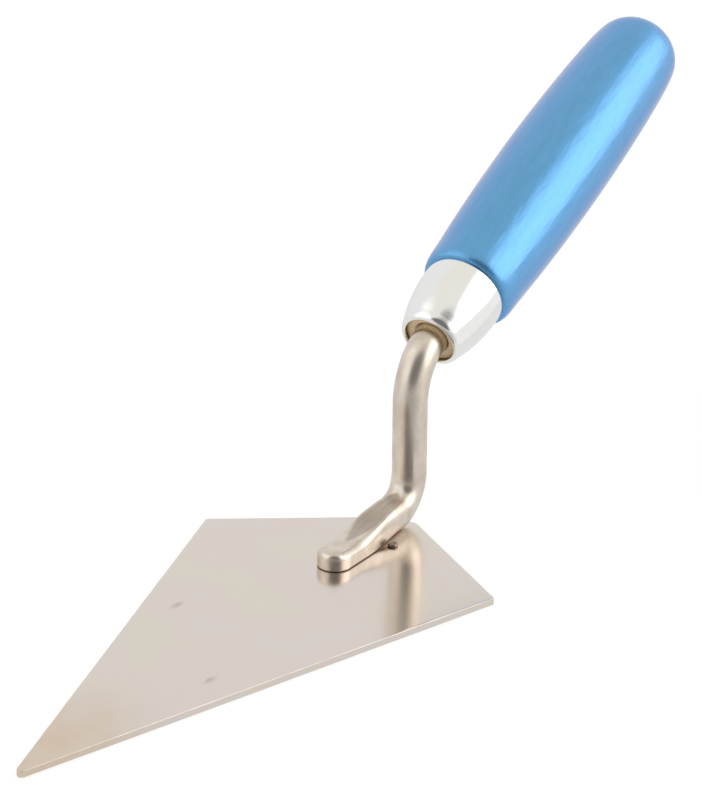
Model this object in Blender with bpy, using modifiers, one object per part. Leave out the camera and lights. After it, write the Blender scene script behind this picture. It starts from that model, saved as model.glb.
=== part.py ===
"""Pointed brick trowel, in metres, +Z up, resting on its blade.

The origin is on the blade's underside, midway between its two side corners.
+X runs to the blade's point, and the handle rises backwards over -X.
"""
import math

import bmesh
import bpy
from mathutils import Vector

MM = 0.001
GAP = 0.3 * MM                      # clearance between pieces that touch in the real tool

# Blade: a flat kite, its heel cut off short and its point rounded.
BLADE_THICK = 1.8 * MM
BLADE_TIP_THICK = 1.65 * MM
BLADE_TAPER_FROM = 95.0 * MM        # the underside is ground away from here to the point
BLADE_POINT_X = 138.6 * MM          # where the two long edges would meet
BLADE_HALF_WIDTH = 42.4 * MM
BLADE_HEEL_X = -31.0 * MM           # where the two short edges would meet
BLADE_CUT_X = -28.3 * MM            # the straight cut across the heel
BLADE_CORNER_RADII = {"point": 1.15 * MM, "side": 0.5 * MM, "heel": 0.6 * MM}
BLADE_EDGE_ROUND = 0.22 * MM

# Shank: one forged rod, flattened into a foot, bent upright, bent back into the handle.
ROD_RADIUS = 4.5 * MM
FOOT_FRONT_X = 10.1 * MM
FOOT_TOE_RADIUS = 4.45 * MM         # the toe is a half circle seen from above
FOOT_TOE_HEIGHT = 4.6 * MM
FOOT_BOTTOM_ROUND = 0.35 * MM
FOOT_TOE_DROP = 1.9 * MM            # how far down the sides the top's oval corners reach, at the toe
FOOT_DROP = 3.4 * MM                # and along the rest of the foot
FOOT_TOE_FLAT = 1.5 * MM            # half width of the flat between those corners, at the toe,
FOOT_PRESSED_FLAT = 3.2 * MM        # where the die pressed hardest,
FOOT_HEEL_FLAT = 2.3 * MM           # and where the heel bend starts
# Distances behind the toe's centre between which the foot changes.
FOOT_RISE_FROM = 4.0 * MM           # it grows higher from here to the heel bend
FOOT_UNDER_FROM = 8.0 * MM          # its lower corners grow rounder from here to the heel bend
FOOT_WIDENING = (6.0 * MM, 20.0 * MM)
FOOT_CORNERS_DEEPEN = (3.0 * MM, 15.0 * MM)
FOOT_FLAT_WIDENS = (4.5 * MM, 16.0 * MM)
FOOT_FLAT_NARROWS = (16.0 * MM, 27.0 * MM)
TOE_RINGS = (88, 78, 66, 53, 38, 20, 0)              # degrees round the toe's half circle
FOOT_RINGS = (2.5, -1, -4.5, -8, -11, -14, -17, -19.5)   # mm along X
HEEL_BEND_CENTRE = (-21.6 * MM, 13.0 * MM)   # x, and height over the foot's underside
HEEL_BEND_OUTER = 13.0 * MM
HEEL_BEND_INNER_START = 5.2 * MM
HEEL_UNDER_ROUND = 0.86             # lower corners where the bend starts, as a share of half the height
BEND_ROUND_AT = 0.75                # share of the heel bend after which the rod is fully round
BEND_RINGS = 9
UPRIGHT_LEAN = math.radians(1.7)    # the upright part leans forward this much
CRANK_RADIUS = 15.0 * MM            # centre-line radius of the upper bend
# The tang, in distances along the handle's axis from the handle's front edge.
ROD_STRAIGHT_FROM = -17.0 * MM
TANG_TAPER_FROM = 6.0 * MM
TANG_END = 56.0 * MM
TANG_END_RADIUS = 2.6 * MM
TANG_CHAMFER = 1.0 * MM             # along the tang's end
TANG_CHAMFER_RISE = 0.6 * MM        # and across it

# Handle and ferrule are turned about one axis, which starts at the handle's front edge.
HANDLE_RISE = math.radians(24.8)
HANDLE_FRONT = (-55.9 * MM, 56.3 * MM)       # x and z of the front edge's centre
# Outer side of the grip from the butt to the front edge: distance along the axis, radius.
HANDLE_SIDE = [(110.25, 0.0), (110.1, 2.02), (109.55, 4.45), (108.45, 6.87), (106.75, 9.1), (104.55, 10.77),
               (101.75, 11.85), (97.5, 12.49), (92.5, 12.94), (86, 13.35), (78, 13.73), (68, 14.07), (58, 14.28),
               (48, 14.32), (37, 14.2), (27, 13.97), (17, 13.57), (9, 13.13), (4.5, 12.94), (3, 12.84),
               (2, 12.7), (1.2, 12.5), (0.6, 12.23), (0.15, 11.88), (0.0, 11.42)]
NOSE_FACE = -17.9 * MM
NOSE_CORNER = 0.2 * MM              # where the nose meets the handle's front face
NOSE_EDGE = 0.6 * MM                # rounding of the nose's face and, smaller, of its bore
BORE_EDGE = 0.4 * MM
# Outer side of the ferrule from its big end to its rolled mouth, then the lip turned inwards.
FERRULE_SIDE = [(-0.3, 10.95), (-0.5, 11.12), (-2.2, 11.17), (-4, 11.15), (-5.6, 11.07), (-7.4, 10.92),
                (-9.9, 10.59), (-12.4, 10.16), (-13.9, 9.83), (-15.3, 9.47), (-16.5, 9.1), (-17.3, 8.86),
                (-18, 8.75), (-18.7, 8.6), (-19.3, 8.3), (-19.7, 7.9), (-19.85, 7.45)]
FERRULE_LIP = [(-19.7, 7.1), (-19.3, 6.95), (-18.9, 7.05), (-18.5, 7.5)]
FERRULE_INSIDE = (-17.4, -15.6, -14, -12, -8.5, -4.2)   # where the inner wall and the nose take a ring
FERRULE_WALL = 0.8 * MM

# One bead of weld metal squeezed out beside the foot.
BEAD_RADIUS = 1.25 * MM
BEAD_HEIGHT = 1.2 * MM
BEAD_RINGS = (25, 50, 72, 88)       # degrees from the bead's top
BEAD_TUCK = 0.97                    # the bead's underside is this much narrower
BEAD_XY = (-12.6 * MM, 6.08 * MM)

# How finely the shapes are cut into flats.
TURNED_STEPS = 48
BEAD_STEPS = 20
SECTION_POINTS = 32
SPAN_STEPS = 2
ROUND_SHADING = 50                  # degrees: edges sharper than this stay crisp on the shank
MERGE = 0.00001                     # the lathe joins points closer than this
TINY = 1e-9
ALMOST = 0.999                      # keeps a corner a hair smaller than the section it rounds

PARTS_COLLECTION = "brick_trowel"


def clear_scene():
    for obj in list(bpy.data.objects):
        bpy.data.objects.remove(obj, do_unlink=True)


def material(name, colour, metallic, roughness):
    mat = bpy.data.materials.new(name)
    mat.use_nodes = True
    shader = mat.node_tree.nodes["Principled BSDF"]
    shader.inputs["Base Color"].default_value = (*colour, 1.0)
    shader.inputs["Metallic"].default_value = metallic
    shader.inputs["Roughness"].default_value = roughness
    mat.diffuse_color = (*colour, 1.0)
    return mat


def add_part(name, mesh, mat, collection):
    obj = bpy.data.objects.new(name, mesh)
    obj.data.materials.append(mat)
    collection.objects.link(obj)
    return obj


def mesh_from_bmesh(name, bm):
    bmesh.ops.recalc_face_normals(bm, faces=bm.faces)
    mesh = bpy.data.meshes.new(name)
    bm.to_mesh(mesh)
    bm.free()
    return mesh


def shade_smooth_by_angle(obj, degrees):
    """Round sides shade smooth; edges sharper than the angle stay crisp."""
    for poly in obj.data.polygons:
        poly.use_smooth = True
    bm = bmesh.new()
    bm.from_mesh(obj.data)
    for edge in bm.edges:
        edge.smooth = edge.calc_face_angle(0.0) < math.radians(degrees)
    bm.to_mesh(obj.data)
    bm.free()


def build_blade(mat, collection):
    """Plate extruded from the kite, corners rounded, underside ground away towards the point."""
    heel_half = BLADE_HALF_WIDTH * (BLADE_CUT_X - BLADE_HEEL_X) / -BLADE_HEEL_X
    corners = [("point", BLADE_POINT_X, 0.0), ("side", 0.0, BLADE_HALF_WIDTH),
               ("heel", BLADE_CUT_X, heel_half), ("heel", BLADE_CUT_X, -heel_half),
               ("side", 0.0, -BLADE_HALF_WIDTH)]
    bm = bmesh.new()
    face = bm.faces.new([bm.verts.new((x, y, 0.0)) for _, x, y in corners])
    grown = bmesh.ops.extrude_face_region(bm, geom=[face])
    for item in grown["geom"]:
        if isinstance(item, bmesh.types.BMVert):
            item.co.z = BLADE_THICK
    bm.normal_update()

    def upright_edge(x, y):
        return min((e for e in bm.edges if abs(e.verts[0].co.z - e.verts[1].co.z) > BLADE_THICK / 2),
                   key=lambda e: (e.verts[0].co.xy - Vector((x, y))).length)

    for kind, x, y in corners:
        edge = upright_edge(x, y)
        half_angle = (math.pi - edge.calc_face_angle()) / 2
        setback = BLADE_CORNER_RADII[kind] / math.tan(half_angle)
        bmesh.ops.bevel(bm, geom=[edge], offset=setback, offset_type="OFFSET", profile=0.5,
                        segments=6 if kind == "point" else 3, affect="EDGES")
    geometry = list(bm.verts) + list(bm.edges) + list(bm.faces)
    bmesh.ops.bisect_plane(bm, geom=geometry, plane_co=(BLADE_TAPER_FROM, 0, 0), plane_no=(1, 0, 0))
    slope = (BLADE_THICK - BLADE_TIP_THICK) / (BLADE_POINT_X - BLADE_TAPER_FROM)
    for vert in bm.verts:
        if vert.co.z < BLADE_THICK / 2 and vert.co.x > BLADE_TAPER_FROM:
            vert.co.z += slope * (vert.co.x - BLADE_TAPER_FROM)
    blade = add_part("blade", mesh_from_bmesh("blade", bm), mat, collection)
    rounding = blade.modifiers.new("ground edges", "BEVEL")
    rounding.width = BLADE_EDGE_ROUND
    rounding.segments = 2
    rounding.limit_method = "ANGLE"
    rounding.angle_limit = math.radians(40)
    return blade


def rounded_bar_section(half_width, half_height, across, down, under, count):
    """Rays at even angles from the middle of a bar's section to its rounded outline.

    The upper corners are ovals reaching `across` and `down`; the lower ones are round, of radius
    `under`. Corners as large as the half sizes give a circle; small ones give a flat-sided bar.
    """
    points = []
    for i in range(count):
        angle = 2 * math.pi * (i + 0.5) / count
        ray_y, ray_z = math.cos(angle), math.sin(angle)
        a = min(across if ray_z > 0 else under, ALMOST * half_width)
        b = min(down if ray_z > 0 else under, ALMOST * half_height)
        side, rise = max(abs(ray_y), TINY), max(abs(ray_z), TINY)
        reach = min(half_width / side, half_height / rise)
        inner_w, inner_h = half_width - a, half_height - b
        if side * reach > inner_w and rise * reach > inner_h:
            square = (side / a) ** 2 + (rise / b) ** 2
            along = side * inner_w / a ** 2 + rise * inner_h / b ** 2
            off = (inner_w / a) ** 2 + (inner_h / b) ** 2 - 1.0
            reach = (along + math.sqrt(max(along ** 2 - square * off, 0.0))) / square
        points.append((ray_y * reach, ray_z * reach))
    return points


def ease(value, low, high):
    """0 below low, 1 above high, smooth between."""
    t = min(max((value - low) / (high - low), 0.0), 1.0)
    return t * t * (3 - 2 * t)


def blend(a, b, t):
    return a + (b - a) * t


def smooth_line(points, per_span):
    """Catmull-Rom curve through the points, with per_span steps between each two."""
    first = tuple(2 * a - b for a, b in zip(points[0], points[1]))
    last = tuple(2 * a - b for a, b in zip(points[-1], points[-2]))
    padded = [first, *points, last]
    line = []
    for before, here, there, after in zip(padded, padded[1:], padded[2:], padded[3:]):
        for step in range(per_span):
            t = step / per_span
            line.append(tuple(
                0.5 * (2 * q + (r - p) * t + (2 * p - 5 * q + 4 * r - u) * t ** 2
                       + (3 * q - p - 3 * r + u) * t ** 3)
                for p, q, r, u in zip(before, here, there, after)))
    return line + [points[-1]]


def foot_flat(behind_toe):
    """Half width of the flat along the foot's top, at a distance behind the toe circle's centre."""
    pressed = blend(FOOT_TOE_FLAT, FOOT_PRESSED_FLAT, ease(behind_toe, *FOOT_FLAT_WIDENS))
    return pressed - (FOOT_PRESSED_FLAT - FOOT_HEEL_FLAT) * ease(behind_toe, *FOOT_FLAT_NARROWS)


def foot_stations():
    """From the toe back to where the rod lifts off, as section frames and sizes."""
    toe_centre = FOOT_FRONT_X - FOOT_TOE_RADIUS
    heel = toe_centre - HEEL_BEND_CENTRE[0]
    heel_height = HEEL_BEND_OUTER - HEEL_BEND_INNER_START
    xs = [toe_centre + FOOT_TOE_RADIUS * math.sin(math.radians(a)) for a in TOE_RINGS]
    xs += [MM * x for x in FOOT_RINGS]
    for x in xs:
        behind = toe_centre - x
        top = blend(FOOT_TOE_HEIGHT, heel_height, ease(behind, FOOT_RISE_FROM, heel))
        lip = min(FOOT_FRONT_X - x, FOOT_TOE_DROP)
        top -= FOOT_TOE_DROP - math.sqrt(FOOT_TOE_DROP ** 2 - (FOOT_TOE_DROP - lip) ** 2)
        toe_width = math.sqrt(FOOT_TOE_RADIUS ** 2 - max(-behind, 0.0) ** 2)
        width = blend(toe_width, ROD_RADIUS, ease(behind, *FOOT_WIDENING))
        across = (ROD_RADIUS - foot_flat(behind)) * toe_width / FOOT_TOE_RADIUS
        down = blend(FOOT_TOE_DROP, FOOT_DROP, ease(behind, *FOOT_CORNERS_DEEPEN))
        under = blend(FOOT_BOTTOM_ROUND, HEEL_UNDER_ROUND * top / 2, ease(behind, FOOT_UNDER_FROM, heel))
        yield {"x": x, "z": top / 2, "turn": 0.0, "half_width": width, "half_height": top / 2,
               "across": across, "down": down, "under": under}


def heel_bend_stations():
    """Quarter bend from lying on the blade to upright, swelling back to the full rod."""
    cx, cz = HEEL_BEND_CENTRE
    for i in range(BEND_RINGS + 1):
        t = i / BEND_RINGS
        turn = (math.pi / 2 + UPRIGHT_LEAN) * t
        inner = blend(HEEL_BEND_INNER_START, HEEL_BEND_OUTER - 2 * ROD_RADIUS, ease(t, 0.0, 1.0))
        mid, half = (HEEL_BEND_OUTER + inner) / 2, (HEEL_BEND_OUTER - inner) / 2
        full = ease(t, 0.0, BEND_ROUND_AT)
        yield {"x": cx - mid * math.sin(turn), "z": cz - mid * math.cos(turn), "turn": turn,
               "half_width": ROD_RADIUS, "half_height": half,
               "across": blend(ROD_RADIUS - FOOT_HEEL_FLAT, ROD_RADIUS, full),
               "down": blend(FOOT_DROP, ROD_RADIUS, full),
               "under": blend(HEEL_UNDER_ROUND * half, ROD_RADIUS, full)}


def handle_axis():
    origin = Vector((HANDLE_FRONT[0], 0.0, HANDLE_FRONT[1]))
    return origin, Vector((-math.cos(HANDLE_RISE), 0.0, math.sin(HANDLE_RISE)))


def crank_and_tang_stations(base_z):
    """Round rod: the upright, the upper bend into the handle's axis, and the tapered tang."""
    last = list(heel_bend_stations())[-1]
    start = Vector((last["x"], 0.0, last["z"] + base_z))
    up = Vector((math.sin(UPRIGHT_LEAN), 0.0, math.cos(UPRIGHT_LEAN)))
    origin, back = handle_axis()
    gap = origin - start
    along = (gap.x * back.z - gap.z * back.x) / (up.x * back.z - up.z * back.x)
    corner = start + up * along      # where the upright's line meets the handle's axis
    swing = up.angle(back)
    tangent = CRANK_RADIUS * math.tan(swing / 2)
    centre = corner - up * tangent + Vector((-up.z, 0.0, up.x)) * CRANK_RADIUS
    first_turn = math.pi / 2 + UPRIGHT_LEAN
    yield start.lerp(corner - up * tangent, 0.5), first_turn, ROD_RADIUS
    for i in range(BEND_RINGS + 1):
        turn = first_turn - swing * i / BEND_RINGS
        outward = Vector((math.sin(turn), 0.0, math.cos(turn)))
        yield centre + outward * CRANK_RADIUS, turn, ROD_RADIUS
    tang_turn = first_turn - swing
    for distance, radius in tang_profile():
        yield origin + back * distance, tang_turn, radius


def tang_profile():
    """Distances along the handle's axis and radii; the bore follows the same line."""
    return [(ROD_STRAIGHT_FROM, ROD_RADIUS), (TANG_TAPER_FROM, ROD_RADIUS),
            (TANG_END - TANG_CHAMFER, TANG_END_RADIUS + TANG_CHAMFER_RISE), (TANG_END, TANG_END_RADIUS)]


def build_shank(mat, collection):
    """Sections of one rod carried along its bent path; the flat foot has no single tool."""
    base_z = BLADE_THICK + GAP
    rings = []
    for s in [*foot_stations(), *heel_bend_stations()]:
        outline = rounded_bar_section(s["half_width"], s["half_height"], s["across"], s["down"], s["under"],
                                      SECTION_POINTS)
        centre = Vector((s["x"], 0.0, s["z"] + base_z))
        rings.append((centre, s["turn"], outline))
    for centre, turn, radius in crank_and_tang_stations(base_z):
        outline = rounded_bar_section(radius, radius, radius, radius, radius, SECTION_POINTS)
        rings.append((centre, turn, outline))
    bm = bmesh.new()
    loops = []
    for centre, turn, outline in rings:
        upward = Vector((math.sin(turn), 0.0, math.cos(turn)))
        loops.append([bm.verts.new(centre + Vector((0, y, 0)) + upward * z) for y, z in outline])
    for near, far in zip(loops, loops[1:]):
        for i in range(SECTION_POINTS):
            j = (i + 1) % SECTION_POINTS
            bm.faces.new((near[i], near[j], far[j], far[i]))
    bm.faces.new(loops[0])
    bm.faces.new(loops[-1])
    shank = add_part("shank", mesh_from_bmesh("shank", bm), mat, collection)
    shade_smooth_by_angle(shank, ROUND_SHADING)
    return shank


def turned_part(name, profile, mat, collection, steps=TURNED_STEPS):
    """Lathe work: the closed half outline (radius, height) swept round its own Z axis."""
    mesh = bpy.data.meshes.new(name)
    points = [(radius, 0.0, height) for radius, height in profile]
    on_axis = points[0][0] < MERGE and points[-1][0] < MERGE
    edges = [(i, i + 1) for i in range(len(points) - 1)]
    if not on_axis:
        edges.append((len(points) - 1, 0))
    mesh.from_pydata(points, edges, [])
    obj = add_part(name, mesh, mat, collection)
    lathe = obj.modifiers.new("lathe", "SCREW")
    lathe.axis = "Z"
    lathe.steps = lathe.render_steps = steps
    lathe.use_merge_vertices = True
    lathe.merge_threshold = MERGE
    lathe.use_smooth_shade = True
    return obj


def place_on_handle_axis(obj):
    origin, back = handle_axis()
    obj.location = origin
    obj.rotation_euler = back.to_track_quat("Z", "Y").to_euler()


def ferrule_inner(height):
    """Inner radius of the ferrule's wall at a distance along the axis."""
    sides = sorted(((h * MM, r * MM - FERRULE_WALL) for h, r in FERRULE_SIDE[1:-5]), reverse=True)
    if height >= sides[0][0]:
        return sides[0][1]
    for (h0, r0), (h1, r1) in zip(sides, sides[1:]):
        if h1 <= height <= h0:
            return blend(r0, r1, (height - h0) / (h1 - h0))
    return sides[-1][1]


def build_ferrule(mat, collection):
    """Thin cap: its outside, the lip rolled in round the mouth, and its inner wall."""
    profile = [(r * MM, h * MM) for h, r in FERRULE_SIDE + FERRULE_LIP]
    profile += [(ferrule_inner(h * MM), h * MM) for h in FERRULE_INSIDE]
    profile.append((ferrule_inner(0.0), FERRULE_SIDE[0][0] * MM))
    ferrule = turned_part("ferrule", profile, mat, collection)
    place_on_handle_axis(ferrule)
    return ferrule


def build_handle(mat, collection):
    """Grip, the nose that fills the ferrule, and the bore that takes the tang."""
    profile = [(r * MM, h * MM) for h, r in smooth_line(HANDLE_SIDE, SPAN_STEPS)]
    seat = ferrule_inner(0.0) - GAP
    profile += [(seat + NOSE_CORNER, 0.0), (seat, -NOSE_CORNER)]
    profile += [(ferrule_inner(h * MM) - GAP, h * MM) for h in reversed(FERRULE_INSIDE)]
    mouth = ROD_RADIUS + GAP
    profile += [(ferrule_inner(FERRULE_INSIDE[0] * MM) - GAP - NOSE_EDGE, NOSE_FACE),
                (mouth + BORE_EDGE, NOSE_FACE), (mouth, NOSE_FACE + BORE_EDGE)]
    profile += [(radius + GAP, distance) for distance, radius in tang_profile()[1:-1]]
    profile += [(TANG_END_RADIUS + GAP, TANG_END + GAP), (0.0, TANG_END + GAP)]
    handle = turned_part("handle", profile, mat, collection)
    place_on_handle_axis(handle)
    return handle


def build_weld_bead(mat, collection):
    dome = [(0.0, BEAD_HEIGHT)]
    dome += [(BEAD_RADIUS * math.sin(math.radians(a)), BEAD_HEIGHT * math.cos(math.radians(a)))
             for a in BEAD_RINGS]
    dome += [(BEAD_RADIUS * BEAD_TUCK, 0.0), (0.0, 0.0)]
    bead = turned_part("weld_bead", dome, mat, collection, steps=BEAD_STEPS)
    bead.location = (BEAD_XY[0], BEAD_XY[1], BLADE_THICK + GAP)
    return bead


def main():
    clear_scene()
    collection = bpy.data.collections.new(PARTS_COLLECTION)
    bpy.context.scene.collection.children.link(collection)
    steel = material("polished_blade_steel", (0.66, 0.62, 0.58), 1.0, 0.22)
    rod_steel = material("satin_forged_steel", (0.60, 0.56, 0.50), 1.0, 0.30)
    weld_steel = material("dull_weld_metal", (0.33, 0.29, 0.26), 1.0, 0.45)
    plated = material("bright_plated_cap", (0.86, 0.86, 0.85), 1.0, 0.08)
    lacquer = material("blue_metallic_lacquer", (0.09, 0.33, 0.66), 0.4, 0.2)
    build_blade(steel, collection)
    build_shank(rod_steel, collection)
    build_weld_bead(weld_steel, collection)
    build_ferrule(plated, collection)
    build_handle(lacquer, collection)


main()
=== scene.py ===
import math

import bpy
import numpy as np
from mathutils import Matrix, Vector


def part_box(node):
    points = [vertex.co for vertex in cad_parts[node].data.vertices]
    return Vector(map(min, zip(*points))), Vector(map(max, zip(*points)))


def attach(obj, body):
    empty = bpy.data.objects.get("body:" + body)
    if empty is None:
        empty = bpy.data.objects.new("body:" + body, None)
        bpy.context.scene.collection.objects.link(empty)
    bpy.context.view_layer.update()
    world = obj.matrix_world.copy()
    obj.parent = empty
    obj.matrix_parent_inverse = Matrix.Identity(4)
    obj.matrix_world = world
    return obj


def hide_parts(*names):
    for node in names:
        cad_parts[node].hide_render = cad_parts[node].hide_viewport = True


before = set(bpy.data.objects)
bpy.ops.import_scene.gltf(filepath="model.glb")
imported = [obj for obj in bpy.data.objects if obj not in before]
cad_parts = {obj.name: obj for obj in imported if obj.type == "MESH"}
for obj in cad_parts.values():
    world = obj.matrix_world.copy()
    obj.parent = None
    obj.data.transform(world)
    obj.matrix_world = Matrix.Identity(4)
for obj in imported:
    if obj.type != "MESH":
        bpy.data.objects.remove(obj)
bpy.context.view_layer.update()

MM = 0.001
TURN = 2.0 * math.pi

# ---------------------------------------------------------------- sizes of the tool, in metres
BLADE_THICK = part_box("blade")[1][2]
BLADE_POINT_X, BLADE_HALF_WIDTH, BLADE_HEEL_X, BLADE_CUT_X = 138.6 * MM, 42.4 * MM, -31.0 * MM, -28.3 * MM
BLADE_TAPER_FROM, BLADE_POINT_THICK = 95.0 * MM, 1.65 * MM
BLADE_CORNER_RADII = np.array([1.15, 0.5, 0.6, 0.6, 0.5]) * MM       # point, side, heel, heel, side
BLADE_MIDDLE = np.array([22.0 * MM, 0.0])
EDGE_WANDER = 0.012 * MM            # how far the blade's ground edge strays in and out
ROD_RADIUS = 4.5 * MM
FOOT_FRONT_X, TOE_RADIUS, TOE_HEIGHT = 10.1 * MM, 4.45 * MM, 4.6 * MM
TOE_FLAT, PRESSED_FLAT, HEEL_FLAT = 1.5 * MM, 3.2 * MM, 2.3 * MM     # half widths of the foot's flat top
TOE_ROUND_DOWN, FOOT_ROUND_DOWN = 1.9 * MM, 3.4 * MM
FOOT_BOTTOM_ROUND = 0.25 * MM
# Where along the foot, counted back from the toe's middle, each size changes.
TOP_RISES_FROM, UNDER_ROUNDS_FROM = 4 * MM, 8 * MM
FOOT_WIDENS, FLAT_WIDENS, FLAT_NARROWS = (6 * MM, 20 * MM), (4.5 * MM, 16 * MM), (16 * MM, 27 * MM)
EDGE_DEEPENS = 3 * MM, 15 * MM
SEAT = 0.04 * MM                    # the foot and the weld stand this much clear of the blade
BEND_X, BEND_Z, BEND_OUTER, BEND_INNER = -21.6 * MM, 13.0 * MM, 13.0 * MM, 5.2 * MM
UPRIGHT_LEAN = math.radians(1.7)
CRANK_RADIUS = 15.0 * MM
TANG_REACH = np.array([-17.0, -8.0, 6.0, 30.0, 55.0, 56.0]) * MM     # along the handle's axis
TANG_TAPER = np.array([3.9, 3.2, 2.6]) * MM                          # radii at the last of these
WELD_X, WELD_Y, WELD_RADIUS, WELD_HEIGHT = -12.6 * MM, 6.0 * MM, 1.3 * MM, 1.2 * MM
HANDLE_RISE = math.radians(24.8)
HANDLE_FRONT = np.array([-55.9, 0.0, 56.3]) * MM
HANDLE_AXIS = np.array([-math.cos(HANDLE_RISE), 0.0, math.sin(HANDLE_RISE)])
HANDLE_UP = np.array([math.sin(HANDLE_RISE), 0.0, math.cos(HANDLE_RISE)])
ACROSS = np.array([0.0, 1.0, 0.0])
LACQUER_INSET = 0.06 * MM           # the grip's radius is this much under its outline
BUTT_INSET = 0.12 * MM              # and its butt this much short of it,
BUTT_FROM, BUTT_TO = 0.09, 0.109    # coming in between these distances
LIP_TURNS_IN = 132, 140             # points of the cap's outer line over which the plating stops

# ---------------------------------------------------------------- how finely the shapes are cut
CORNER_POINTS, RIM_POINTS, EDGE_STEPS = 13, 900, 7
TOE_STEPS, FOOT_STEPS, BEND_STEPS, UPRIGHT_STEPS, CRANK_STEPS, ROD_RAYS = 26, 60, 40, 30, 48, 120
DROP_RINGS, DROP_RAYS = 26, 72
CAP_POINTS, CAP_INSIDE_POINTS, GRIP_POINTS = 150, 40, 260
TURNED_RAYS, NOSE_RAYS = 192, 128
ALMOST, TINY = 0.999, 1e-9          # keep a corner inside its section, and a division clear of nought


# ---------------------------------------------------------------- meshes from arrays
def wave_noise(u, v, seed, waves=9, low=1.0, high=6.0):
    """Smooth unevenness between about -1 and 1: a sum of cosines of u and v.

    Each wave has its own seeded direction, rate (low to high turns per unit) and phase.
    """
    draw = np.random.default_rng(seed)
    rate = TURN * draw.uniform(low, high, waves)
    heading = draw.uniform(0.0, TURN, waves)
    phase = draw.uniform(0.0, TURN, waves)
    total = np.zeros(np.broadcast(u, v).shape)
    for r, h, p in zip(rate, heading, phase):
        total = total + np.cos(r * (u * np.cos(h) + v * np.sin(h)) + p)
    return total / math.sqrt(waves * 2.0)


def smooth_line(stations, count):
    """A smooth curve through the stations: Catmull-Rom cubics, evenly spaced in station number.

    Between two stations the point is a + b t + c t^2 + d t^3, its slope at each station being
    half the step between that station's neighbours.
    """
    p = np.asarray(stations, float)
    padded = np.vstack([2 * p[0] - p[1], p, 2 * p[-1] - p[-2]])
    at = np.linspace(0.0, len(p) - 1, count)
    i = np.minimum(at.astype(int), len(p) - 2)
    t = (at - i)[:, None]
    before, here, there, after = padded[i], padded[i + 1], padded[i + 2], padded[i + 3]
    return 0.5 * (2 * here + (there - before) * t + (2 * before - 5 * here + 4 * there - after) * t ** 2
                  + (3 * here - before - 3 * there + after) * t ** 3)


def closed_piece(name, rings, first_pole=None, last_pole=None, ring_of_rings=False, mark=None):
    """Mesh of a grid of points: rows are closed rings, each joined to the next by quads.

    A pole point closes an end with a fan; ring_of_rings joins the last ring to the first.
    Faces are turned outwards by the sign of the enclosed volume. A mark is a (name, value per
    grid point) that the piece's finish reads.
    """
    rows, cols = rings.shape[:2]
    points = rings.reshape(-1, 3)
    row = np.arange(rows if ring_of_rings else rows - 1)[:, None]
    col = np.arange(cols)[None, :]
    after_row, after_col = (row + 1) % rows, (col + 1) % cols
    quads = np.stack([row * cols + col, row * cols + after_col, after_row * cols + after_col,
                      after_row * cols + col], axis=-1).reshape(-1, 4)
    fans = []
    ring = np.arange(cols)
    if first_pole is not None:
        fans.append(np.stack([np.full(cols, len(points)), np.roll(ring, -1), ring], axis=-1))
        points = np.vstack([points, first_pole])
    if last_pole is not None:
        base = (rows - 1) * cols
        fans.append(np.stack([np.full(cols, len(points)), base + ring, base + np.roll(ring, -1)], axis=-1))
        points = np.vstack([points, last_pole])
    a, b, c, d = (points[quads[:, k]] for k in range(4))
    volume = np.einsum("ij,ij->", a, np.cross(b, c)) + np.einsum("ij,ij->", a, np.cross(c, d))
    for fan in fans:
        a, b, c = (points[fan[:, k]] for k in range(3))
        volume += np.einsum("ij,ij->", a, np.cross(b, c))
    faces = [quads] + fans
    if volume < 0:
        faces = [f[:, ::-1] for f in faces]
    mesh = bpy.data.meshes.new(name)
    mesh.from_pydata(points.tolist(), [], [face for group in faces for face in group.tolist()])
    mesh.polygons.foreach_set("use_smooth", np.ones(len(mesh.polygons), bool))
    mesh.update()
    if mark is not None:
        values = np.zeros(len(points))
        values[:rows * cols] = mark[1].reshape(-1)
        mesh.attributes.new(mark[0], "FLOAT", "POINT").data.foreach_set("value", values)
    piece = bpy.data.objects.new(name, mesh)
    bpy.context.scene.collection.objects.link(piece)
    return piece


def fit_piece(piece, material, node):
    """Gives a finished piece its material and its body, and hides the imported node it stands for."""
    piece.data.materials.append(material)
    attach(piece, "root")
    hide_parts(node)


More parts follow.
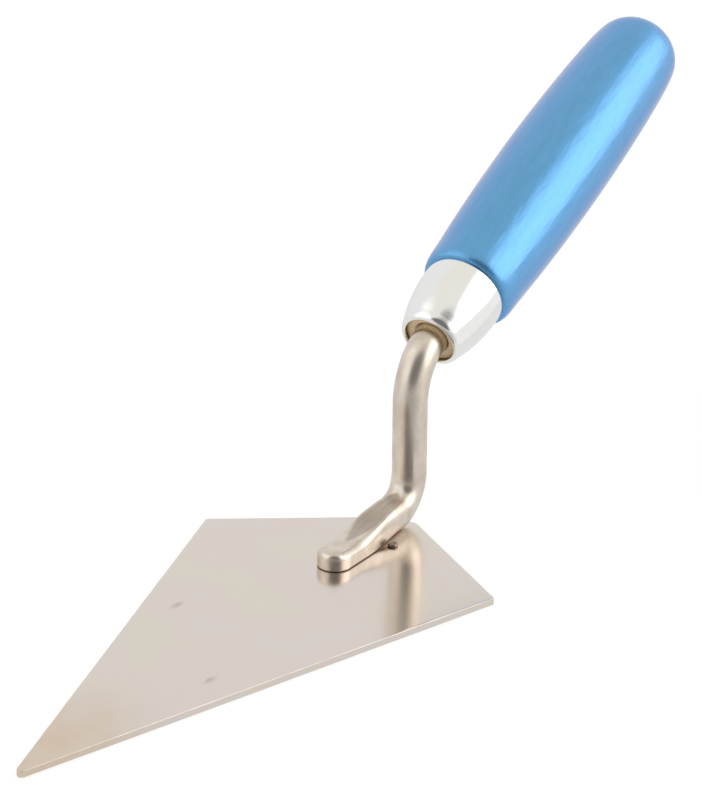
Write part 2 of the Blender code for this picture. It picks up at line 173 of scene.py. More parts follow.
# ---------------------------------------------------------------- blade
def blade_outline(count):
    """The blade's rim seen from above, and its outward direction, at count points.

    Straight sides between the kite's corners, each corner a circular arc of its own radius:
    the arc's centre lies on the corner's bisector at radius / sin(half angle).
    """
    heel_half = BLADE_HALF_WIDTH * (BLADE_CUT_X - BLADE_HEEL_X) / -BLADE_HEEL_X
    corners = np.array([[BLADE_POINT_X, 0.0], [0.0, BLADE_HALF_WIDTH], [BLADE_CUT_X, heel_half],
                        [BLADE_CUT_X, -heel_half], [0.0, -BLADE_HALF_WIDTH]])
    leaving = np.roll(corners, -1, axis=0) - corners
    leaving /= np.linalg.norm(leaving, axis=1)[:, None]
    arriving = np.roll(leaving, 1, axis=0)
    turning = np.arccos(np.clip((leaving * arriving).sum(axis=1), -1, 1))
    setback = BLADE_CORNER_RADII * np.tan(turning / 2)
    first_normal = np.stack([arriving[:, 1], -arriving[:, 0]], axis=1)
    centres = corners - arriving * setback[:, None] - first_normal * BLADE_CORNER_RADII[:, None]
    points, normals = [], []
    share = count // len(corners)
    for k in range(len(corners)):
        bend = np.linspace(0.0, turning[k], CORNER_POINTS)
        c, s = np.cos(bend)[:, None], np.sin(bend)[:, None]
        sideways = np.stack([-first_normal[k][1] * s[:, 0], first_normal[k][0] * s[:, 0]], axis=1)
        n = first_normal[k] * c + sideways
        arc = centres[k] + n * BLADE_CORNER_RADII[k]
        onward = (k + 1) % len(corners)
        end = corners[onward] - leaving[k] * setback[onward]
        t = np.linspace(0.0, 1.0, share - CORNER_POINTS + 2)[1:-1, None]
        points += [arc, arc[-1] * (1 - t) + end * t]
        normals += [n, np.repeat(n[-1:], len(t), axis=0)]
    return np.vstack(points), np.vstack(normals)


def blade_plate():
    """A section of the rim (top round, upright side, bottom round) carried round the outline.

    Past the rim, rings shrink in straight lines to one middle point on each face. The side
    wanders in and out by about a hundredth of a millimetre, as a hand-ground edge does.
    """
    rim, out = blade_outline(RIM_POINTS)
    along = np.cumsum(np.linalg.norm(rim - np.roll(rim, 1, axis=0), axis=1))
    wander = wave_noise(along / 0.012, 0 * along, 5, waves=14, low=0.2, high=2.5)
    top_round = (0.13 + 0.06 * wander) * MM
    low_round = (0.22 + 0.05 * wave_noise(along / 0.02, 0 * along, 6, low=0.3, high=2.0)) * MM
    slope = (BLADE_THICK - BLADE_POINT_THICK) / (BLADE_POINT_X - BLADE_TAPER_FROM)
    underside = slope * np.maximum(rim[:, 0] - BLADE_TAPER_FROM, 0.0)
    a = np.linspace(math.pi / 2, 0.0, EDGE_STEPS)[:, None]
    top_in = top_round * (1 - np.cos(a)) + EDGE_WANDER * (1 + wander)
    top_z = BLADE_THICK - 0.75 * top_round * (1 - np.sin(a))
    low_in = low_round * (1 - np.cos(a[::-1])) + EDGE_WANDER * (1 + wander)
    low_z = underside + low_round * (1 - np.sin(a[::-1]))
    inset = np.vstack([top_in, low_in])
    height = np.vstack([top_z, low_z])
    rings = np.concatenate([rim[None] - out[None] * inset[..., None], height[..., None]], axis=-1)
    shrink = np.array([0.02, 0.06, 0.15, 0.35, 0.65])[:, None, None]
    top_rings, low_rings = rings[:1].repeat(len(shrink), axis=0), rings[-1:].repeat(len(shrink), axis=0)
    for face in (top_rings, low_rings):
        face[..., :2] = face[..., :2] * (1 - shrink) + BLADE_MIDDLE * shrink
    low_rings[..., 2] = slope * np.maximum(low_rings[..., 0] - BLADE_TAPER_FROM, 0.0)
    every = np.concatenate([top_rings[::-1], rings, low_rings])
    return closed_piece("blade_plate", every, first_pole=[[*BLADE_MIDDLE, BLADE_THICK]],
                        last_pole=[[*BLADE_MIDDLE, 0.0]])


# ---------------------------------------------------------------- shank
def bar_section(half_width, half_height, across, down, bottom_round, rays):
    """Outline of a bar cut across: where even rays from its middle meet a rectangle with oval corners.

    Where a ray meets a flat the reach is the smaller of half width / |cos| and half height / |sin|.
    Where it meets a corner it solves ((y - y0) / a)^2 + ((z - z0) / b)^2 = 1, with (y0, z0) the
    corner's middle, a its reach across and b its reach down. The lower corners are round.
    """
    angle = TURN * (np.arange(rays) + 0.5) / rays
    cy, cz = abs(np.cos(angle))[None, :], np.sin(angle)[None, :]
    w, h = half_width[:, None], half_height[:, None]
    upper = cz > 0
    a = np.minimum(np.where(upper, across[:, None], bottom_round[:, None]), ALMOST * w)
    b = np.minimum(np.where(upper, down[:, None], bottom_round[:, None]), ALMOST * h)
    rise = abs(cz)
    reach = np.minimum(w / np.maximum(cy, TINY), h / np.maximum(rise, TINY))
    y0, z0 = w - a, h - b
    at_corner = (cy * reach > y0) & (rise * reach > z0)
    square = (cy / a) ** 2 + (rise / b) ** 2
    onto = cy * y0 / a ** 2 + rise * z0 / b ** 2
    off = (y0 / a) ** 2 + (z0 / b) ** 2 - 1.0
    reach = np.where(at_corner, (onto + np.sqrt(np.maximum(onto ** 2 - square * off, 0.0))) / square, reach)
    return np.cos(angle)[None, :] * reach, cz * reach


def ease(value, low, high):
    """0 below low, 1 above high, and t^2 (3 - 2t) between."""
    t = np.clip((value - low) / (high - low), 0.0, 1.0)
    return t * t * (3 - 2 * t)


def mix(a, b, t):
    return a + (b - a) * t


def shank_stations():
    """Middle line, tilt and section sizes of the rod from its toe to the end of its tang.

    The foot runs straight with a half-round toe, the heel bend is a quarter circle whose inner
    radius shrinks as the rod swells to full round, and the crank is an arc into the handle's axis.
    Columns: x, z, tilt, half width, half height, corner across, corner down, bottom round,
    half width of the mark the die left.
    """
    toe = FOOT_FRONT_X - TOE_RADIUS
    quarter = np.linspace(math.pi / 2 * 0.985, 0.0, TOE_STEPS)
    x = np.concatenate([toe + TOE_RADIUS * np.sin(quarter), np.linspace(toe, BEND_X, FOOT_STEPS)[1:-1]])
    top = mix(TOE_HEIGHT, BEND_OUTER - BEND_INNER, ease(toe - x, TOP_RISES_FROM, toe - BEND_X))
    lip = np.minimum(FOOT_FRONT_X - x, TOE_ROUND_DOWN)
    top = top - TOE_ROUND_DOWN + np.sqrt(TOE_ROUND_DOWN ** 2 - (TOE_ROUND_DOWN - lip) ** 2)
    toe_width = np.where(x > toe, np.sqrt(np.maximum(TOE_RADIUS ** 2 - (x - toe) ** 2, 0.0)), TOE_RADIUS)
    width = mix(toe_width, ROD_RADIUS, ease(toe - x, *FOOT_WIDENS))
    flat = mix(TOE_FLAT, PRESSED_FLAT, ease(toe - x, *FLAT_WIDENS))
    flat -= (PRESSED_FLAT - HEEL_FLAT) * ease(toe - x, *FLAT_NARROWS)
    across = (ROD_RADIUS - flat) * toe_width / TOE_RADIUS
    down = mix(TOE_ROUND_DOWN, FOOT_ROUND_DOWN, ease(toe - x, *EDGE_DEEPENS))
    under = mix(FOOT_BOTTOM_ROUND, 0.43 * top, ease(toe - x, UNDER_ROUNDS_FROM, toe - BEND_X))
    marked = np.minimum(flat, 3.3 * MM * (np.maximum(1 * MM - x, 0.0) / (11 * MM)) ** 0.8)
    foot = np.stack([x, top / 2, 0 * x, width, top / 2, across, down, under, marked], axis=1)
    t = np.linspace(0.0, 1.0, BEND_STEPS)
    turn = (math.pi / 2 + UPRIGHT_LEAN) * t
    inner = mix(BEND_INNER, BEND_OUTER - 2 * ROD_RADIUS, ease(t, 0.0, 1.0))
    middle, half = (BEND_OUTER + inner) / 2, (BEND_OUTER - inner) / 2
    full = ease(t, 0.0, 0.75)
    across = mix(ROD_RADIUS - HEEL_FLAT, ROD_RADIUS, full)
    down, under = mix(FOOT_ROUND_DOWN, ROD_RADIUS, full), mix(0.86 * half, ROD_RADIUS, full)
    bend = np.stack([BEND_X - middle * np.sin(turn), BEND_Z - middle * np.cos(turn), turn,
                     np.full_like(t, ROD_RADIUS), half, across, down, under,
                     HEEL_FLAT * (1.0 - ease(t, 0.1, 0.45))], axis=1)
    for part in (foot, bend):
        part[:, 1] += BLADE_THICK + SEAT
    start = bend[-1, :2]
    up = np.array([math.sin(UPRIGHT_LEAN), math.cos(UPRIGHT_LEAN)])
    axis, origin = HANDLE_AXIS[[0, 2]], HANDLE_FRONT[[0, 2]]
    gap = origin - start
    corner = start + up * (gap[0] * axis[1] - gap[1] * axis[0]) / (up[0] * axis[1] - up[1] * axis[0])
    swing = math.acos(up @ axis)
    setback = CRANK_RADIUS * math.tan(swing / 2)
    first = math.pi / 2 + UPRIGHT_LEAN
    rise = np.linspace(0.0, 1.0, UPRIGHT_STEPS)[1:-1, None]
    upright = np.hstack([mix(start, corner - up * setback, rise), np.full_like(rise, first)])
    turn = first - swing * np.linspace(0.0, 1.0, CRANK_STEPS)
    centre = corner - up * setback + np.array([-up[1], up[0]]) * CRANK_RADIUS
    crank = np.stack([centre[0] + CRANK_RADIUS * np.sin(turn), centre[1] + CRANK_RADIUS * np.cos(turn),
                      turn], axis=1)
    reach = TANG_REACH[:, None]
    tang = np.hstack([origin + axis * reach, np.full_like(reach, first - swing)])
    rod = np.vstack([upright, crank, tang])
    radius = np.full(len(rod), ROD_RADIUS)
    radius[-len(TANG_TAPER):] = TANG_TAPER
    round_rod = np.hstack([rod, radius[:, None].repeat(5, axis=1), np.zeros((len(rod), 1))])
    return np.vstack([foot, bend, round_rod])


def forged_shank():
    """The bar's section carried along its middle line, each section square to the line.

    The surface then moves in and out by up to a few hundredths of a millimetre, as forging leaves it.
    The mark "pressed" is 1 on the flat that the die left along the top of the foot.
    """
    s = shank_stations()
    y, z = bar_section(s[:, 3], s[:, 4], s[:, 5], s[:, 6], s[:, 7], ROD_RAYS)
    length = np.concatenate([[0.0], np.cumsum(np.linalg.norm(np.diff(s[:, :2], axis=0), axis=1))])[:, None]
    round_it = np.arctan2(z, y)
    uneven = wave_noise(length / 0.016, np.cos(round_it) * 0.5, 11, low=0.3, high=1.6)
    uneven += 0.6 * wave_noise(length / 0.016, np.sin(round_it) * 0.5, 12, low=0.3, high=2.2)
    uneven += 0.3 * wave_noise(length / 0.006, np.cos(round_it + 1.0) * 0.9, 13, low=0.4, high=1.6)
    swell = 1.0 + 0.006 * uneven * ease(length, 2 * MM, 8 * MM)
    marked = s[:, 8:9]
    pressed = (z > 0) * ease(marked, 0.0, 0.5 * MM)
    pressed = pressed * (1.0 - ease(abs(y), marked - 0.5 * MM, marked + 0.3 * MM))
    y, z = y * swell, np.where((z < 0) & (s[:, 2:3] < 0.05), z, z * swell)
    rings = np.stack([s[:, 0:1] + np.sin(s[:, 2:3]) * z, y, s[:, 1:2] + np.cos(s[:, 2:3]) * z], axis=-1)
    return closed_piece("forged_shank", rings, first_pole=rings[:1].mean(axis=1),
                        last_pole=rings[-1:].mean(axis=1), mark=("pressed", pressed))


def weld_drop():
    """A small frozen drop: a dome whose reach is swelled by two and three lobes round it.

    Its height falls as the cosine of the angle from its top, and a shallow crater dents the middle:
    z = height * (0.36 + 0.64 cos - crater), crater = 0.16 exp(-(share / 0.22)^2), deeper on one side.
    """
    share = np.linspace(0.0, 1.0, DROP_RINGS)[1:, None]
    tip, phi = share * math.pi * 0.62, TURN * np.arange(DROP_RAYS)[None, :] / DROP_RAYS
    reach = WELD_RADIUS * (1 + 0.07 * np.cos(2 * phi + 0.6) + 0.05 * np.cos(3 * phi + 2.1))
    crater = 0.16 * np.exp(-(share / 0.22) ** 2) * (1 + 0.3 * np.cos(phi))
    x = WELD_X + reach * np.sin(tip) * np.cos(phi)
    y = WELD_Y + reach * np.sin(tip) * np.sin(phi)
    z = WELD_HEIGHT * (0.36 + 0.64 * np.cos(tip) - crater)
    rings = np.stack([x, y, z - z.min() + BLADE_THICK + SEAT], axis=-1)
    return closed_piece("weld_drop", rings, first_pole=rings[:1].mean(axis=1),
                        last_pole=rings[-1:].mean(axis=1))


# ---------------------------------------------------------------- ferrule and handle, turned about one axis
def turned(name, profile, around, ring_of_rings=False, ends=(None, None), bare=None):
    """A half outline of (distance along the axis, radius) swept round the handle's axis.

    point = front centre + axis * distance + radius * (across * cos + up * sin).
    """
    phi = TURN * np.arange(around)[None, :, None] / around
    distance, radius = profile[:, 0, None, None], profile[:, 1, None, None]
    rings = HANDLE_FRONT + HANDLE_AXIS * distance + radius * (ACROSS * np.cos(phi) + HANDLE_UP * np.sin(phi))
    poles = [None if end is None else [HANDLE_FRONT + HANDLE_AXIS * end] for end in ends]
    mark = None if bare is None else ("bare", np.repeat(bare[:, None], around, axis=1))
    return closed_piece(name, rings, first_pole=poles[0], last_pole=poles[1], ring_of_rings=ring_of_rings,
                        mark=mark)


FERRULE_OUTSIDE = [(-0.05, 10.95), (-0.15, 11.1), (-0.6, 11.16), (-2.2, 11.17), (-4, 11.15), (-5.6, 11.07),
                   (-7.4, 10.92), (-9.9, 10.59), (-12.4, 10.16), (-13.9, 9.83), (-15.3, 9.47), (-16.5, 9.11),
                   (-17.3, 8.86), (-18, 8.66), (-18.6, 8.47), (-19.1, 8.24), (-19.5, 7.92), (-19.74, 7.55),
                   (-19.78, 7.25), (-19.65, 7.04), (-19.4, 6.98), (-19.1, 7.05), (-18.6, 7.4)]
FERRULE_INSIDE = [(-18.3, 7.85), (-17.2, 8.15), (-15.3, 8.67), (-12.4, 9.36), (-9.9, 9.79), (-7.4, 10.12),
                  (-4, 10.35), (-0.05, 10.3)]


def ferrule_cap():
    """Thin cap: its outside and rolled mouth as one smooth line, its inside as another.

    The mark "bare" is 1 on the inside, which the plating hardly reached.
    """
    outside = smooth_line(FERRULE_OUTSIDE, CAP_POINTS)
    inside = smooth_line(FERRULE_INSIDE, CAP_INSIDE_POINTS)
    bare = np.concatenate([ease(np.arange(float(CAP_POINTS)), *LIP_TURNS_IN), np.ones(CAP_INSIDE_POINTS)])
    return turned("ferrule_cap", np.vstack([outside, inside]) * MM, TURNED_RAYS, ring_of_rings=True,
                  bare=bare)


HANDLE_OUTSIDE = [(110.25, 0.0), (110.1, 2.02), (109.55, 4.45), (108.45, 6.87), (106.75, 9.1),
                  (104.55, 10.77), (101.75, 11.85), (97.5, 12.49), (92.5, 12.94), (86, 13.35), (78, 13.73),
                  (68, 14.07), (58, 14.28), (48, 14.32), (37, 14.2), (27, 13.97), (17, 13.57), (9, 13.13),
                  (4.5, 12.94), (3, 12.84), (2, 12.7), (1.2, 12.5), (0.6, 12.23), (0.15, 11.88), (0.0, 11.42)]


def handle_grip():
    """The grip's outer line from the butt's dome to the rounded front edge, then in to the nose.

    It is closed across its front and has no bore, so the tang runs on inside it unseen.
    """
    line = smooth_line(HANDLE_OUTSIDE, GRIP_POINTS)[1:] * MM
    line[:, 1] -= LACQUER_INSET
    line = np.vstack([line, [[0.0, 10.0 * MM]]])
    line[:, 0] -= BUTT_INSET * ease(line[:, 0], BUTT_FROM, BUTT_TO)
    return turned("handle_grip", line, TURNED_RAYS, ends=(HANDLE_OUTSIDE[0][0] * MM - BUTT_INSET, 0.0))


HANDLE_NOSE = [(-0.1, 6.0), (-0.1, 10.1), (-4, 10.2), (-7.4, 9.95), (-9.9, 9.62), (-12.4, 9.18),
               (-15.3, 8.5), (-17.0, 8.0), (-17.7, 7.7), (-18.1, 7.3), (-18.3, 6.8), (-18.35, 5.3),
               (-18.2, 4.85), (-17.7, 4.62), (-10.0, 4.7), (-0.1, 4.7)]


def handle_nose():
    """Bare wood inside the ferrule: its side just clear of the cap, its face bored for the rod."""
    return turned("handle_nose", np.array(HANDLE_NOSE) * MM, NOSE_RAYS, ring_of_rings=True)


# ---------------------------------------------------------------- finishes
def colour(code):
    """Linear colour from an sRGB hex code: each channel is ((c + 0.055) / 1.055) ^ 2.4 above 0.04045."""
    channels = [int(code[i:i + 2], 16) / 255 for i in (1, 3, 5)]
    return tuple(c / 12.92 if c <= 0.04045 else ((c + 0.055) / 1.055) ** 2.4 for c in channels) + (1.0,)


def add_node(tree, kind, links=None, out=None, **settings):
    """Adds one node with its settings, fills or links its inputs, and gives back one output.

    An input is named by its label or its number; the output is the first in use unless named.
    """
    node = tree.nodes.new(kind)
    for key, value in settings.items():
        setattr(node, key, value)
    for key, value in (links or {}).items():
        in_use = [s for s in node.inputs if s.enabled and s.name == key]
        socket = in_use[0] if in_use else node.inputs[key]
        if isinstance(value, bpy.types.NodeSocket):
            tree.links.new(value, socket)
        else:
            socket.default_value = value
    return node.outputs[out] if out else next(s for s in node.outputs if s.enabled)


def start_finish(name, sockets):
    """A new material whose shader has the given sockets set, with its tree, shader and place on the piece."""
    material = bpy.data.materials.new(name)
    material.use_nodes = True
    tree = material.node_tree
    shader = tree.nodes["Principled BSDF"]
    for key, value in sockets.items():
        shader.inputs[key].default_value = value
    place = add_node(tree, "ShaderNodeTexCoord", out="Object")
    return material, tree, shader, place


def blended(tree, share, first, second):
    """The colour going from first to second as share goes from 0 to 1."""
    return add_node(tree, "ShaderNodeMix", {"Factor": share, "A": first, "B": second}, data_type="RGBA")


def spread(tree, value, low, high, onto=(0.0, 1.0)):
    """The value's run from low to high laid evenly onto another run, and held at its ends."""
    return add_node(tree, "ShaderNodeMapRange", {"Value": value, "From Min": low, "From Max": high,
                                                 "To Min": onto[0], "To Max": onto[1]})


def raised(tree, height, depth, under=None, invert=False):
    """Relief of the given depth in metres, lying on the relief under it if one is given."""
    sockets = {"Height": height, "Strength": 1.0, "Distance": depth}
    if under is not None:
        sockets["Normal"] = under
    return add_node(tree, "ShaderNodeBump", sockets, invert=invert)


def lumps(tree, place, size_mm, detail=2.0, turn=0.0):
    """Noise whose lumps are size_mm long in x, y and z, the pattern turned about Y to lie along a piece."""
    across = add_node(tree, "ShaderNodeMapping", {
        "Vector": place, "Rotation": (0.0, turn, 0.0), "Scale": tuple(s * MM for s in size_mm)},
        vector_type="TEXTURE")
    return add_node(tree, "ShaderNodeTexNoise", {"Vector": across, "Scale": 1.0, "Detail": detail})


def soft_mark(tree, place, centre, reach_mm):
    """1 at a spot on the piece falling to 0 at its reach: a smooth step of the distance over the reach."""
    local = add_node(tree, "ShaderNodeMapping", {
        "Vector": place, "Location": centre, "Scale": tuple(r * MM for r in reach_mm)},
        vector_type="TEXTURE")
    away = add_node(tree, "ShaderNodeVectorMath", {0: local}, out="Value", operation="LENGTH")
    return add_node(tree, "ShaderNodeMapRange", {"Value": away, "From Min": 1.0, "From Max": 0.1},
                    interpolation_type="SMOOTHSTEP")


SMEARS = (((0.0470, -0.0192, 0.0018), (3.4, 1.5, 4)), ((0.0761, 0.0099, 0.0018), (3.2, 1.4, 4)),
          ((-0.012, 0.033, 0.0018), (3.0, 2.0, 4)))      # middle in metres, reach in millimetres


def buffed_sheet_steel():
    """Stainless sheet, ground and buffed: a soft mirror with faint lines along it.

    It is tanner towards the point and smeared in three places. Beside the weld it is browned: partly heat
    tint, partly painted shade round the weld's foot and along the crease under the foot.
    """
    material, tree, shader, place = start_finish("buffed_stainless_sheet", {"Metallic": 1.0})
    cloud = lumps(tree, place, (22, 30, 30), detail=1.0)
    cloudy = spread(tree, cloud, 0.35, 0.65)
    tint = blended(tree, cloudy, colour("#E2D8D2"), colour("#E3DACE"))
    heat = soft_mark(tree, place, (0.128, -0.003, 0.0), (48, 26, 30))
    mottled = spread(tree, lumps(tree, place, (9, 7, 9)), 0.2, 0.75, (0.55, 1.25))
    heat = add_node(tree, "ShaderNodeMath", {0: heat, 1: mottled}, operation="MULTIPLY", use_clamp=True)
    tint = blended(tree, heat, tint, colour("#DCC9B4"))
    smears = 0.0
    for centre, reach in SMEARS:
        smears = add_node(tree, "ShaderNodeMath", {0: smears, 1: soft_mark(tree, place, centre, reach)},
                          operation="ADD")
    smears = add_node(tree, "ShaderNodeMath", {0: smears, 1: lumps(tree, place, (1.6, 0.9, 2), detail=3.0)},
                      operation="MULTIPLY")
    tint = blended(tree, smears, tint, colour("#B2A29B"))
    # partly heat tint and partly painted shade in the crease between the foot, the weld and the blade
    weld_tint_and_crease_shade = soft_mark(tree, place, (-0.0105, 0.0055, BLADE_THICK), (5, 1.7, 4))
    tint = blended(tree, weld_tint_and_crease_shade, tint, colour("#9C8672"))
    tree.links.new(tint, shader.inputs["Base Color"])
    rough = spread(tree, cloud, 0.3, 0.7, (0.155, 0.185))
    tree.links.new(rough, shader.inputs["Roughness"])
    lines = lumps(tree, place, (16, 0.45, 4), detail=3.0)      # grit lines, coarser than the real 0.05 mm
    level = raised(tree, lines, 0.0015 * MM)
    tree.links.new(level, shader.inputs["Normal"])
    return material


def forged_rod_steel():
    """Bright rod, forged and tumbled: satin, warm grey, lightly pitted. Painted shade darkens the flat
    pressed along the foot, in streaks, standing in for the darker reflection that flat gives; painted shade
    in dark brown runs along the foot's underside where it meets the blade.
    """
    material, tree, shader, place = start_finish("tumbled_rod_steel", {"Metallic": 1.0})
    cloud = lumps(tree, place, (4, 4, 6), detail=3.0)
    cloudy = spread(tree, cloud, 0.35, 0.65)
    tint = blended(tree, cloudy, colour("#E3D8CB"), colour("#D0C5B6"))
    pressed = add_node(tree, "ShaderNodeAttribute", out="Fac", attribute_name="pressed")
    # painted shade: the pressed flat is darkened in streaks to stand in for its darker reflection
    streaks = lumps(tree, place, (14, 1.8, 5), detail=1.0)
    flat_painted_shade = spread(tree, streaks, 0.3, 0.7, (0.6, 1.0))
    flat_painted_shade = add_node(tree, "ShaderNodeMath", {0: flat_painted_shade, 1: pressed}, operation="MULTIPLY")
    tint = blended(tree, flat_painted_shade, tint, colour("#A99B8C"))
    pits = spread(tree, lumps(tree, place, (0.7, 0.7, 0.7)), 0.7, 0.78)
    tint = blended(tree, pits, tint, colour("#A79B8C"))
    # painted shade: dark brown along the foot's underside, in the crevice where it sits on the blade
    height = add_node(tree, "ShaderNodeSeparateXYZ", {0: place}, out="Z")
    underside_painted_shade = spread(tree, height, BLADE_THICK + 0.5 * MM, BLADE_THICK + 0.1 * MM)
    tint = blended(tree, underside_painted_shade, tint, colour("#7C6553"))
    tree.links.new(tint, shader.inputs["Base Color"])
    rough = spread(tree, cloud, 0.3, 0.7, (0.27, 0.34))
    tree.links.new(rough, shader.inputs["Roughness"])
    skin = raised(tree, lumps(tree, place, (1.6, 1.6, 2.2)), 0.010 * MM)
    dents = raised(tree, pits, 0.012 * MM, skin, invert=True)
    tree.links.new(dents, shader.inputs["Normal"])
    return material


def weld_metal():
    """Weld metal squeezed out and frozen: duller and browner than the steel round it."""
    material, tree, shader, place = start_finish("heat_tinted_weld", {"Metallic": 1.0, "Roughness": 0.3})
    tint = blended(tree, lumps(tree, place, (0.8, 0.8, 0.8)), colour("#5C4A3E"), colour("#B5A593"))
    tree.links.new(tint, shader.inputs["Base Color"])
    skin = raised(tree, lumps(tree, place, (0.5, 0.5, 0.5)), 0.05 * MM)
    tree.links.new(skin, shader.inputs["Normal"])
    return material


def nickel_chrome():
    """Plated pressed cap: a near-perfect mirror with the faint waves of the pressing, dull olive inside."""
    material, tree, shader, place = start_finish("bright_chrome_plate", {})
    haze = lumps(tree, place, (5, 5, 5))
    tint = blended(tree, haze, colour("#F5F5F4"), colour("#F0F0EE"))
    bare = add_node(tree, "ShaderNodeAttribute", out="Fac", attribute_name="bare")
    tint = blended(tree, bare, tint, colour("#D6C68E"))
    tree.links.new(tint, shader.inputs["Base Color"])
    plated = add_node(tree, "ShaderNodeMath", {0: 1.0, 1: bare}, operation="SUBTRACT")
    tree.links.new(plated, shader.inputs["Metallic"])
    rough = spread(tree, haze, 0.3, 0.7, (0.06, 0.11))
    tree.links.new(rough, shader.inputs["Roughness"])
    waves = raised(tree, lumps(tree, place, (4, 4, 4), detail=1.0), 0.03 * MM)
    tree.links.new(waves, shader.inputs["Normal"])
    return material


def blue_lacquer():
    """Candy lacquer over metal flake on a turned grip: blue under a clear coat that is not quite level."""
    material, tree, shader, place = start_finish("blue_flake_lacquer", {
        "Metallic": 0.85, "Roughness": 0.32, "Coat Weight": 1.0, "Coat Roughness": 0.06, "Coat IOR": 1.5,
        "Specular Tint": colour("#C9C4F0")})
    flow = lumps(tree, place, (8, 1.7, 1.7), detail=3.0, turn=HANDLE_RISE)
    flake = lumps(tree, place, (0.35, 0.35, 0.35), detail=1.0)    # real flake is about 0.05 mm, drawn coarser
    flowed = spread(tree, flow, 0.35, 0.65)
    tint = blended(tree, flowed, colour("#529ACF"), colour("#57A0D5"))
    flaked = spread(tree, flake, 0.3, 0.7, (0.0, 0.25))
    tint = blended(tree, flaked, tint, colour("#76BDE8"))
    tree.links.new(tint, shader.inputs["Base Color"])
    sag = raised(tree, flow, 0.15 * MM)
    grain = raised(tree, flake, 0.003 * MM, sag)
    tree.links.new(grain, shader.inputs["Normal"])
    return material


def bare_wood():
    """The uncoated end of the turned wood: brown, dull, open-grained."""
    material, tree, shader, place = start_finish("bare_turned_wood", {"Roughness": 0.7})
    grain = lumps(tree, place, (6, 0.5, 0.5), detail=4.0, turn=HANDLE_RISE)
    grained = spread(tree, grain, 0.3, 0.7)
    tint = blended(tree, grained, colour("#D8BE9A"), colour("#EFDCBA"))
    tree.links.new(tint, shader.inputs["Base Color"])
    ridges = raised(tree, grain, 0.05 * MM)
    tree.links.new(ridges, shader.inputs["Normal"])
    return material


# ---------------------------------------------------------------- floor, light and camera
def towards(azimuth, elevation):
    """Unit direction: azimuth counted from +X towards +Y, elevation above the floor, in degrees."""
    a, e = math.radians(azimuth), math.radians(elevation)
    return Vector((math.cos(e) * math.cos(a), math.cos(e) * math.sin(a), math.sin(e)))


FLAT_TO, SHEET_RADIUS, RIM_CURL = 1.5, 4.0, 0.05       # metres, metres, per metre


def flat_sheet(name, lift):
    """Level round sheet turned up at its far rim: z = lift + 0.05 (r - 1.5)^2 beyond 1.5 m, out to 4 m."""
    phi = np.radians(np.linspace(0.0, 360.0, 97))[None, :]
    r = np.concatenate([[0.0005], np.linspace(0.05, FLAT_TO, 12), np.linspace(1.6, SHEET_RADIUS, 14)])
    r = r[:, None]
    height = lift + RIM_CURL * np.maximum(r - FLAT_TO, 0.0) ** 2
    grid = np.stack([r * np.cos(phi), r * np.sin(phi), height * np.ones_like(phi)], axis=-1)
    rows, cols = grid.shape[:2]
    row, col = np.arange(rows - 1)[:, None], np.arange(cols - 1)[None, :]
    corner = row * cols + col
    quads = np.stack([corner, corner + cols, corner + cols + 1, corner + 1], axis=-1).reshape(-1, 4)
    mesh = bpy.data.meshes.new(name)
    mesh.from_pydata(grid.reshape(-1, 3).tolist(), [], quads.tolist())
    mesh.polygons.foreach_set("use_smooth", np.ones(len(mesh.polygons), bool))
    sheet = bpy.data.objects.new(name, mesh)
    bpy.context.scene.collection.objects.link(sheet)
    return sheet


def pale_floor():
    """Matt white card just under the blade, lit from all round and glowing a little itself."""
    floor = flat_sheet("floor", -0.1 * MM)
    floor.data.materials.append(start_finish("matt_white_card", {
        "Base Color": (0.35, 0.35, 0.35, 1.0), "Roughness": 0.9, "Specular IOR Level": 0.1,
        "Emission Color": (1.0, 1.0, 1.0, 1.0), "Emission Strength": 0.72})[0])


def shaded_card():
    """A card on the floor that only mirrors see, shaded towards the camera's side.

    It darkens the middle of the bright rod: its level falls with the cosine of the direction
    seen from the tool, measured from the darkest direction. Along the blade's edge it stays bright.
    """
    card = flat_sheet("shaded_card", -0.05 * MM)
    material, tree, shader, place = start_finish("graded_grey_card", {
        "Base Color": (0.0, 0.0, 0.0, 1.0), "Roughness": 1.0, "Specular IOR Level": 0.0,
        "Emission Color": (1.0, 1.0, 1.0, 1.0)})
    away = add_node(tree, "ShaderNodeVectorMath", {0: place, 1: (-0.038, 0.0, 0.0)}, operation="SUBTRACT")
    distance = add_node(tree, "ShaderNodeVectorMath", {0: away}, out="Value", operation="LENGTH")
    far = spread(tree, distance, 0.2, 0.9, (0.0, 0.5))
    away = add_node(tree, "ShaderNodeVectorMath", {0: away}, operation="NORMALIZE")
    facing = add_node(tree, "ShaderNodeVectorMath", {0: away, 1: towards(8, 0)}, out="Value",
                      operation="DOT_PRODUCT")
    level = spread(tree, facing, 0.0, 1.0, (0.92, 0.38))
    level = add_node(tree, "ShaderNodeMix", {"Factor": far, "A": level, "B": 0.92}, data_type="FLOAT")
    past_edge = add_node(tree, "ShaderNodeVectorMath", {0: place, 1: towards(73, 0)}, out="Value",
                         operation="DOT_PRODUCT")
    past_edge = spread(tree, past_edge, 46 * MM, 62 * MM)
    level = add_node(tree, "ShaderNodeMix", {"Factor": past_edge, "A": 0.82, "B": level}, data_type="FLOAT")
    tree.links.new(level, shader.inputs["Emission Strength"])
    card.data.materials.append(material)
    card.visible_camera = card.visible_diffuse = card.visible_shadow = card.visible_transmission = False


TENT_LEVEL = 0.87
# Name, azimuth, elevation, inner angle and outer angle in degrees, then the amount of each colour.
PATCHES = [("right lamp", 115, 27, 10, 39, (1.2, 1.2, 1.2)),
           ("left lamp", -42, 35, 12, 38, (0.38, 0.38, 0.38)),
           ("right wing", 148, 20, 4, 36, (0.2, 0.2, 0.2)),
           ("opening", 34, 27, 24, 41, (-0.69, -0.69, -0.69)),
           ("roof", 0, 90, 14, 42, (0.0, -0.02, -0.08))]


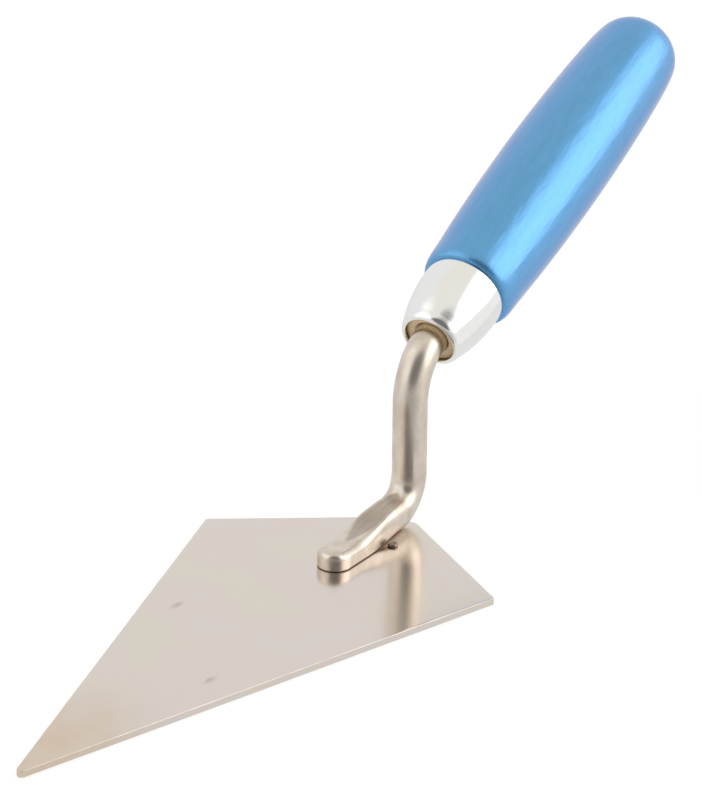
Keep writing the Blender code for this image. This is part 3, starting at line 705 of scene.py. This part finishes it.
def light_tent():
    """A pale tent, a little warm overhead, lit through its sides by two lamps and open towards the camera.

    Each patch adds its amount within its inner angle of a direction, easing to nothing at its outer angle.
    """
    world = bpy.data.worlds.new("light_tent")
    bpy.context.scene.world = world
    world.use_nodes = True
    tree = world.node_tree
    tree.nodes.clear()
    look = add_node(tree, "ShaderNodeTexCoord", out="Generated")
    light = (TENT_LEVEL,) * 3
    for label, azimuth, elevation, inner, outer, amount in PATCHES:
        facing = add_node(tree, "ShaderNodeVectorMath", {0: look, 1: towards(azimuth, elevation)},
                          out="Value", operation="DOT_PRODUCT")
        share = add_node(tree, "ShaderNodeMapRange", {
            "Value": facing, "From Min": math.cos(math.radians(outer)),
            "From Max": math.cos(math.radians(inner))}, interpolation_type="SMOOTHSTEP")
        light = add_node(tree, "ShaderNodeVectorMath", {0: share, 1: amount, 2: light},
                         operation="MULTIPLY_ADD", label=label)
    background = add_node(tree, "ShaderNodeBackground", {"Color": light, "Strength": 1.0})
    output = tree.nodes.new("ShaderNodeOutputWorld")
    tree.links.new(background, output.inputs["Surface"])


EYE_PLACE, EYE_FORWARD = (0.62703, 0.37635, 0.33272), (-0.79763, -0.47862, -0.36701)
EYE_ROLL, LENS_MM, SENSOR_MM, CLOSEST = math.radians(1.47), 144.0, 36.0, 0.01


def camera_at_tool():
    """Looks down on the tool from in front and to its left, a little rolled, through a long lens."""
    data = bpy.data.cameras.new("camera")
    data.lens, data.sensor_width, data.clip_start = LENS_MM, SENSOR_MM, CLOSEST
    eye = bpy.data.objects.new("camera", data)
    aim = Vector(EYE_FORWARD).to_track_quat("-Z", "Y").to_matrix().to_4x4()
    eye.matrix_world = Matrix.Translation(EYE_PLACE) @ aim @ Matrix.Rotation(EYE_ROLL, 4, "Z")
    bpy.context.scene.collection.objects.link(eye)
    bpy.context.scene.camera = eye


# ---------------------------------------------------------------- the tool put together
fit_piece(blade_plate(), buffed_sheet_steel(), "blade")
fit_piece(forged_shank(), forged_rod_steel(), "shank")
fit_piece(weld_drop(), weld_metal(), "weld_bead")
fit_piece(ferrule_cap(), nickel_chrome(), "ferrule")
fit_piece(handle_grip(), blue_lacquer(), "handle")
fit_piece(handle_nose(), bare_wood(), "handle")

pale_floor()
shaded_card()
light_tent()
camera_at_tool()
bpy.context.scene.view_settings.view_transform = "Standard"
